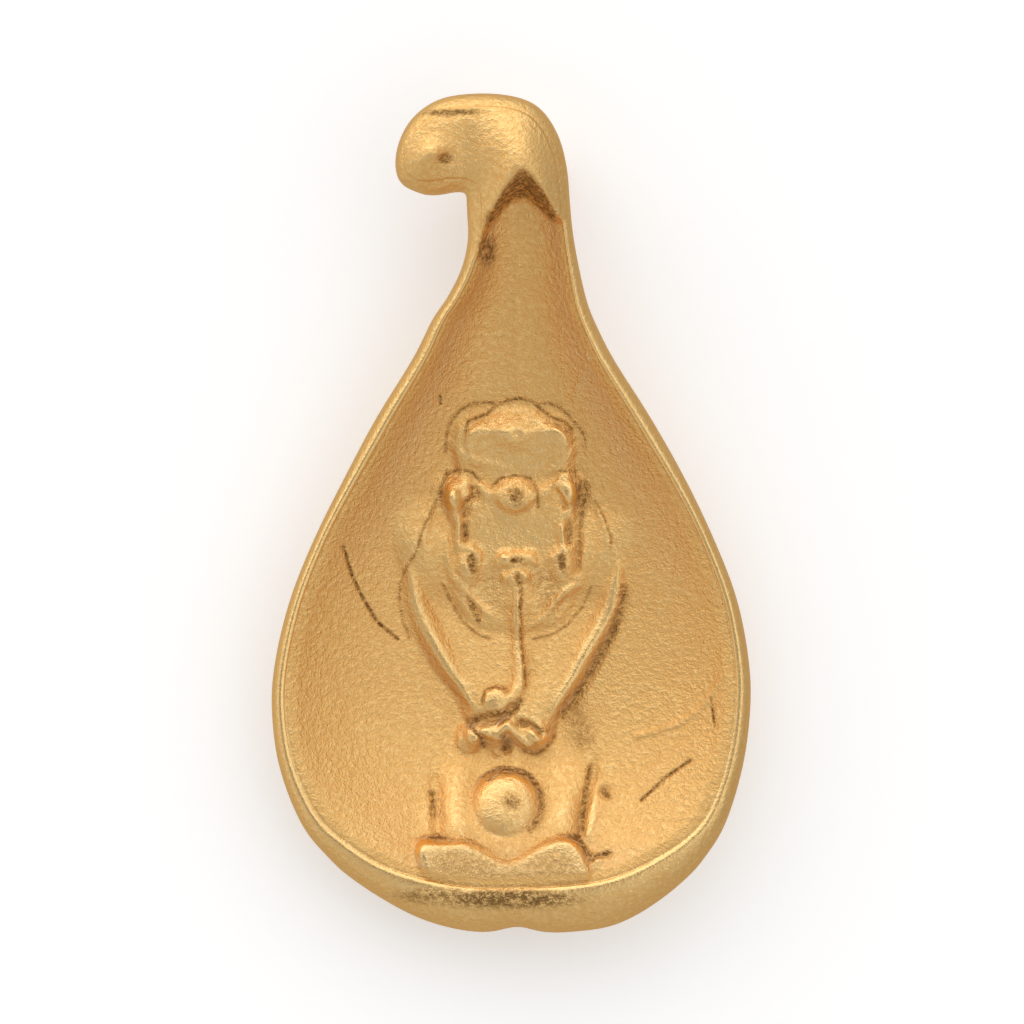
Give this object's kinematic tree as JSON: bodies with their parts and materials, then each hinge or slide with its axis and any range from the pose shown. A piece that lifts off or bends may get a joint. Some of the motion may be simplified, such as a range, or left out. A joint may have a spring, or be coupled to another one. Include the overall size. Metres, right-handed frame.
{
  "type": "pixiu leaf pendant",
  "caption": "Gold leaf-shaped pendant: a shallow bowl with a curled tip, a seated guardian animal in relief inside it, and a hidden bail behind the neck for a chain.",
  "frame": {"origin": "centre of the pendant's box, at the surface that it lies on", "axes": "+Y towards the curled tip, +Z out of the open front, +X to the right seen from the front"},
  "size_m": [0.0068, 0.012, 0.0028],
  "materials": {
    "satin_gold": "sandblasted satin gold with polished high places",
    "polished_gold": "polished gold"
  },
  "bodies": {
    "root": {"casting": "satin_gold", "bail": "polished_gold"}
  },
  "joints": []
}
